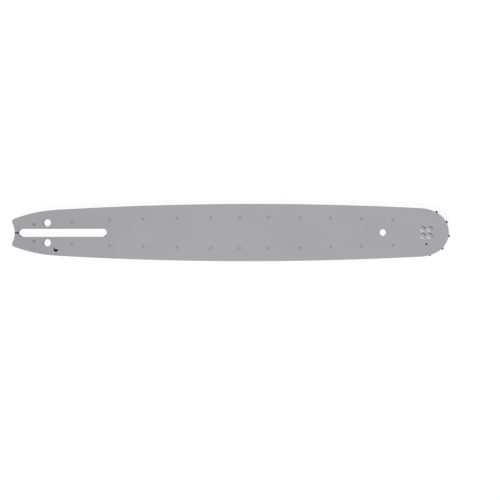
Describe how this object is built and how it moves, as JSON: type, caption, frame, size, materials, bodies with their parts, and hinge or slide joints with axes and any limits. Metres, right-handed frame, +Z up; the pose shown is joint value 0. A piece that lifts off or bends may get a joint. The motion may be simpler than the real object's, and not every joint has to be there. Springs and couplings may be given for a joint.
{
  "type": "chainsaw guide bar",
  "caption": "Long flat laminated guide bar for a chainsaw, with a stud slot and adjuster holes at the tail and a toothed sprocket turning on rollers in its round nose.",
  "frame": {"origin": "centre of the stud slot, on the lower clamping face of the bar lying flat", "axes": "+X along the bar towards the nose, +Z up through the thickness"},
  "size_m": [0.4567, 0.0598, 0.006],
  "materials": {
    "bar_paint": "satin",
    "core_steel": "satin",
    "rivet_paint": "satin",
    "sprocket_steel": "satin",
    "bearing_steel": "polished"
  },
  "bodies": {
    "bar": {"front_side_plate": "bar_paint", "core_plate": "core_steel", "back_side_plate": "bar_paint", "bearing_inner_race": "bearing_steel", "nose_rivets": "rivet_paint"},
    "sprocket": {"nose_sprocket": "sprocket_steel"},
    "roller_set": {"bearing_roller_01": "bearing_steel", "bearing_roller_02": "bearing_steel", "bearing_roller_03": "bearing_steel", "bearing_roller_04": "bearing_steel", "bearing_roller_05": "bearing_steel", "bearing_roller_06": "bearing_steel", "bearing_roller_07": "bearing_steel", "bearing_roller_08": "bearing_steel", "bearing_roller_09": "bearing_steel", "bearing_roller_10": "bearing_steel", "bearing_roller_11": "bearing_steel", "bearing_roller_12": "bearing_steel", "bearing_roller_13": "bearing_steel", "bearing_roller_14": "bearing_steel", "bearing_roller_15": "bearing_steel", "bearing_roller_16": "bearing_steel", "bearing_roller_17": "bearing_steel", "bearing_roller_18": "bearing_steel"}
  },
  "joints": [
    {"name": "sprocket_spin", "type": "hinge", "parent": "bar", "child": "sprocket", "pos_m": [0.37901, 0, 0.00225], "axis": [0, 0, 1], "continuous": true},
    {"name": "rollers_orbit", "type": "hinge", "parent": "bar", "child": "roller_set", "pos_m": [0.37901, 0, 0.00225], "axis": [0, 0, 1], "continuous": true}
  ],
  "couplings": [
    {"joint": "rollers_orbit", "follows": "sprocket_spin", "ratio": 0.58588}
  ]
}
